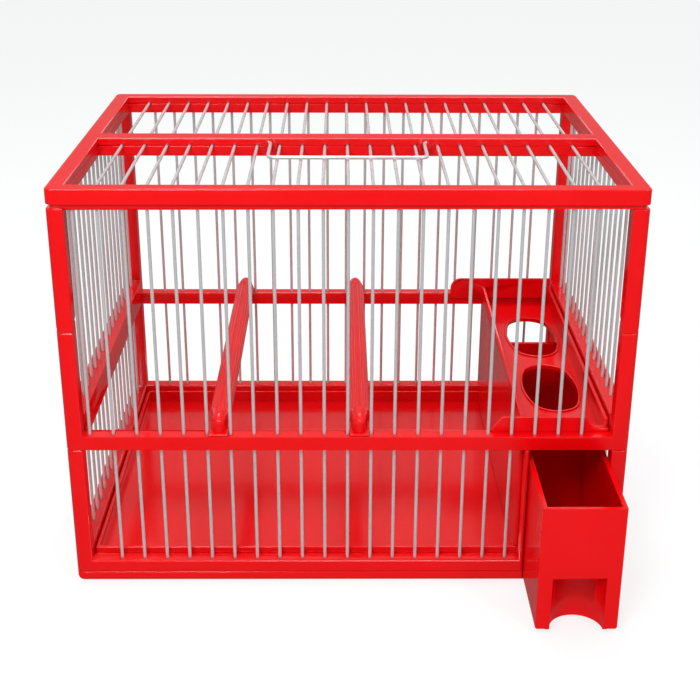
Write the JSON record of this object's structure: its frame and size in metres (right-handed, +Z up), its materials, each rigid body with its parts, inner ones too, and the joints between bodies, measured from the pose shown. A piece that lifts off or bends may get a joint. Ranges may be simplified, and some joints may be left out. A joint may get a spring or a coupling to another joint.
{
  "type": "bird cage",
  "caption": "Box-shaped plastic bird cage with wire sides and roof, fluted perches, a carry handle and a pull-out feeder drawer under a deck with two oval feeding holes.",
  "frame": {"origin": "middle of the cage's footprint on the underside of the base tray, the drawer left out", "axes": "+X to the right seen from the front, +Y to the rear, +Z up; the drawer opens towards -Y"},
  "size_m": [0.3, 0.28, 0.225],
  "materials": {
    "cage_plastic": "glossy red moulded plastic",
    "tray_plastic": "glossy red moulded plastic",
    "feeder_plastic": "glossy red moulded plastic",
    "drawer_plastic": "glossy red moulded plastic",
    "perch_plastic": "glossy red moulded plastic",
    "wire_steel": "bright drawn wire",
    "handle_steel": "bright plated wire"
  },
  "bodies": {
    "base": {"base_tray": "tray_plastic"},
    "cage": {"bottom_ring": "cage_plastic", "middle_ring": "cage_plastic", "upper_ring": "cage_plastic", "top_frame": "cage_plastic", "front_wires": "wire_steel", "short_front_wires": "wire_steel", "rear_wires": "wire_steel", "left_wires": "wire_steel", "right_wires": "wire_steel", "top_wires": "wire_steel", "feeder_housing": "feeder_plastic"},
    "handle": {"carry_handle": "handle_steel"},
    "drawer": {"feeder_drawer": "drawer_plastic", "drawer_divider": "drawer_plastic"},
    "left_perch": {"left_perch_rod": "perch_plastic", "left_perch_front_cap": "perch_plastic", "left_perch_rear_cap": "perch_plastic"},
    "right_perch": {"right_perch_rod": "perch_plastic", "right_perch_front_cap": "perch_plastic", "right_perch_rear_cap": "perch_plastic"}
  },
  "joints": [
    {"name": "cage_lift", "type": "slide", "parent": "base", "child": "cage", "axis": [0, 0, 1], "range_m": [0, 0.03]},
    {"name": "drawer_slide", "type": "slide", "parent": "base", "child": "drawer", "axis": [0, -1, 0], "range_m": [-0.0495, 0.12]},
    {"name": "handle_hinge", "type": "hinge", "parent": "cage", "child": "handle", "pos_m": [0, -0.0107, 0.2228], "axis": [-1, 0, 0], "range_deg": [0, 95]},
    {"name": "left_perch_lift", "type": "slide", "parent": "cage", "child": "left_perch", "axis": [0, 0, 1], "range_m": [0, 0.025]},
    {"name": "right_perch_lift", "type": "slide", "parent": "cage", "child": "right_perch", "axis": [0, 0, 1], "range_m": [0, 0.025]}
  ]
}
